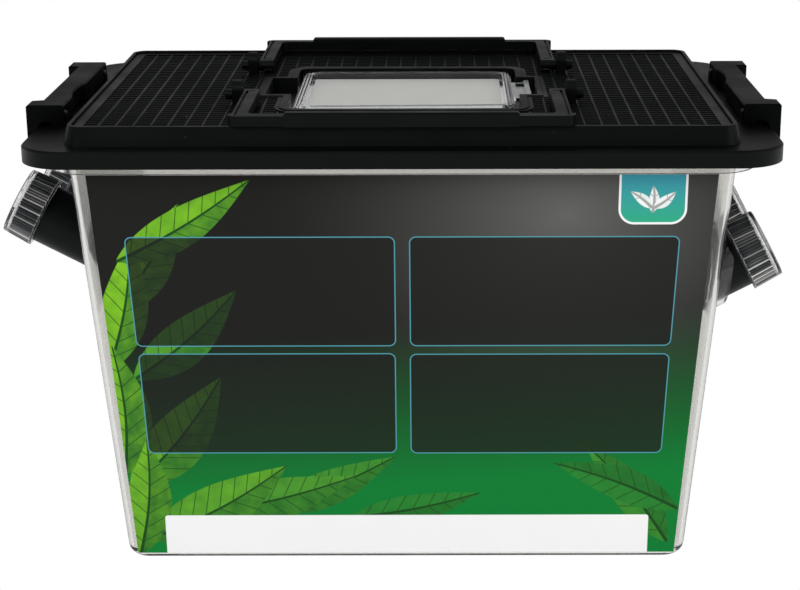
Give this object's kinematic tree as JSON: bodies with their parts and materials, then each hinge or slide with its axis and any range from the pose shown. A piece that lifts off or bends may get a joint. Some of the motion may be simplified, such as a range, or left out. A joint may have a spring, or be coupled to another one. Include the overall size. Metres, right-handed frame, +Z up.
{
  "type": "cricket keeper box",
  "caption": "Clear tapered insect keeper with a vented carry lid, trap door, end latches, sloped hide tubes with ribbed caps and a feeding bowl.",
  "frame": {"origin": "centre of the tank's flat base, on the surface the box stands on", "axes": "+X along the length towards the right end, -Y is the labelled front, +Z up"},
  "size_m": [0.3362, 0.202, 0.2],
  "materials": {
    "clear_plastic": "clear, polished",
    "black_plastic": "fine satin grain",
    "label_film": "printed film, satin",
    "door_plastic": "clear, lightly frosted panel",
    "tube_plastic": "satin",
    "cap_plastic": "clear, finely ribbed",
    "bowl_plastic": "satin"
  },
  "bodies": {
    "tank": {"tank": "clear_plastic", "front_label": "label_film"},
    "lid": {"lid": "black_plastic", "vent_grille": "black_plastic"},
    "trap_door": {"trap_door": "door_plastic"},
    "front_handle": {"front_handle": "black_plastic"},
    "rear_handle": {"rear_handle": "black_plastic"},
    "left_latch": {"left_latch": "black_plastic"},
    "right_latch": {"right_latch": "black_plastic"},
    "feeding_bowl": {"feeding_bowl": "bowl_plastic"},
    "water_cover": {"water_cover": "bowl_plastic"},
    "right_front_tube": {"right_front_tube": "tube_plastic"},
    "right_front_cap": {"right_front_cap": "cap_plastic"},
    "right_rear_tube": {"right_rear_tube": "tube_plastic"},
    "right_rear_cap": {"right_rear_cap": "cap_plastic"},
    "left_front_tube": {"left_front_tube": "tube_plastic"},
    "left_front_cap": {"left_front_cap": "cap_plastic"},
    "left_rear_tube": {"left_rear_tube": "tube_plastic"},
    "left_rear_cap": {"left_rear_cap": "cap_plastic"}
  },
  "joints": [
    {"name": "lid_lift", "type": "slide", "parent": "tank", "child": "lid", "axis": [0, 0, 1], "range_m": [0, 0.12]},
    {"name": "left_latch_hinge", "type": "hinge", "parent": "lid", "child": "left_latch", "pos_m": [-0.1435, 0, 0.1872], "axis": [0, 1, 0], "range_deg": [0, 85]},
    {"name": "right_latch_hinge", "type": "hinge", "parent": "lid", "child": "right_latch", "pos_m": [0.1435, 0, 0.1872], "axis": [0, -1, 0], "range_deg": [0, 85]},
    {"name": "front_handle_hinge", "type": "hinge", "parent": "lid", "child": "front_handle", "pos_m": [0, -0.0345, 0.1938], "axis": [1, 0, 0], "range_deg": [-122, 0]},
    {"name": "rear_handle_hinge", "type": "hinge", "parent": "lid", "child": "rear_handle", "pos_m": [0, 0.0345, 0.1938], "axis": [-1, 0, 0], "range_deg": [-122, 0]},
    {"name": "trap_door_hinge", "type": "hinge", "parent": "lid", "child": "trap_door", "pos_m": [-0.0451, 0, 0.1875], "axis": [0, -1, 0], "range_deg": [0, 100]},
    {"name": "bowl_lift", "type": "slide", "parent": "tank", "child": "feeding_bowl", "axis": [0, 0, 1], "range_m": [0, 0.006]},
    {"name": "water_cover_lift", "type": "slide", "parent": "feeding_bowl", "child": "water_cover", "axis": [0, 0, 1], "range_m": [0, 0.006]},
    {"name": "right_front_tube_slide", "type": "slide", "parent": "tank", "child": "right_front_tube", "axis": [0.8829, 0, 0.4695], "range_m": [0, 0.235]},
    {"name": "right_front_cap_pull", "type": "slide", "parent": "right_front_tube", "child": "right_front_cap", "axis": [0.8829, 0, 0.4695], "range_m": [0, 0.03]},
    {"name": "right_rear_tube_slide", "type": "slide", "parent": "tank", "child": "right_rear_tube", "axis": [0.8829, 0, 0.4695], "range_m": [0, 0.235]},
    {"name": "right_rear_cap_pull", "type": "slide", "parent": "right_rear_tube", "child": "right_rear_cap", "axis": [0.8829, 0, 0.4695], "range_m": [0, 0.03]},
    {"name": "left_front_tube_slide", "type": "slide", "parent": "tank", "child": "left_front_tube", "axis": [-0.8829, 0, 0.4695], "range_m": [-0.02, 0.215]},
    {"name": "left_front_cap_pull", "type": "slide", "parent": "left_front_tube", "child": "left_front_cap", "axis": [-0.8829, 0, 0.4695], "range_m": [0, 0.03]},
    {"name": "left_rear_tube_slide", "type": "slide", "parent": "tank", "child": "left_rear_tube", "axis": [-0.8829, 0, 0.4695], "range_m": [-0.02, 0.215]},
    {"name": "left_rear_cap_pull", "type": "slide", "parent": "left_rear_tube", "child": "left_rear_cap", "axis": [-0.8829, 0, 0.4695], "range_m": [0, 0.03]}
  ]
}
